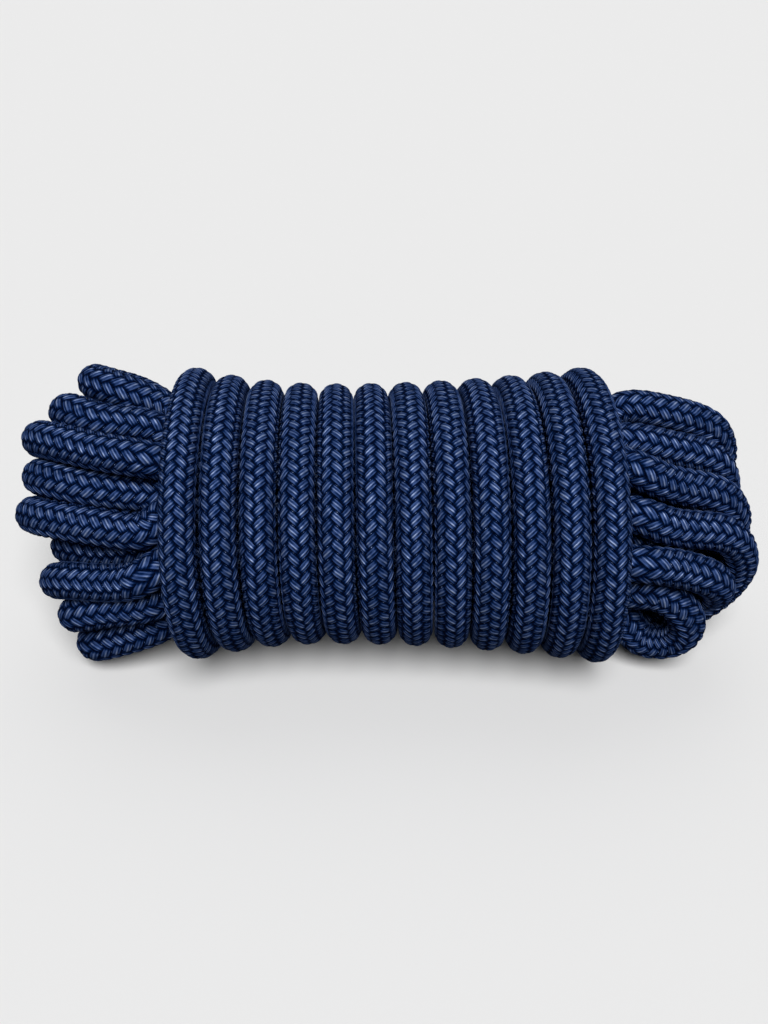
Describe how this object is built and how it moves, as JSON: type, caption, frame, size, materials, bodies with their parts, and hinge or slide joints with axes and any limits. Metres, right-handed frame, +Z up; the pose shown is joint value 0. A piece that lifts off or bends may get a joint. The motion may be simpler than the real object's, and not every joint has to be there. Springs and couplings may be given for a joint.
{
  "type": "dynamic climbing rope hank",
  "caption": "Kernmantle climbing rope folded into a hank and bound with turns of its own, with folded bights standing out at both ends.",
  "frame": {"origin": "middle of the hank's box, on the surface that it lies on", "axes": "+X along the hank, +Z up, -Y towards the side that it is shown from"},
  "size_m": [0.2112, 0.0933, 0.0826],
  "materials": {
    "sheath": "braided navy polyamide sheath",
    "sleeve": "smoked shrink sleeve",
    "seal": "melted polyamide"
  },
  "bodies": {
    "root": {"wrap_turn_01": "sheath", "wrap_turn_02": "sheath", "wrap_turn_03": "sheath", "wrap_turn_04": "sheath", "wrap_turn_05": "sheath", "wrap_turn_06": "sheath", "wrap_turn_07": "sheath", "wrap_turn_08": "sheath", "wrap_turn_09": "sheath", "wrap_turn_10": "sheath", "wrap_turn_11": "sheath", "wrap_turn_12": "sheath", "bight_left_01": "sheath", "bight_left_02": "sheath", "bight_left_03": "sheath", "bight_left_04": "sheath", "bight_left_05": "sheath", "bight_left_06": "sheath", "bight_left_07": "sheath", "bight_left_08": "sheath", "bight_left_09": "sheath", "bight_right_01": "sheath", "bight_right_02": "sheath", "bight_right_03": "sheath", "bight_right_04": "sheath", "bight_right_05": "sheath", "bight_right_06": "sheath", "inner_fold_01": "sheath", "inner_fold_02": "sheath", "inner_fold_03": "sheath", "rope_start": "sheath", "wrap_lead": "sheath", "wrap_tail": "sheath", "sleeve_start": "sleeve", "sleeve_tail": "sleeve", "seal_start": "seal", "seal_tail": "seal"}
  },
  "joints": []
}
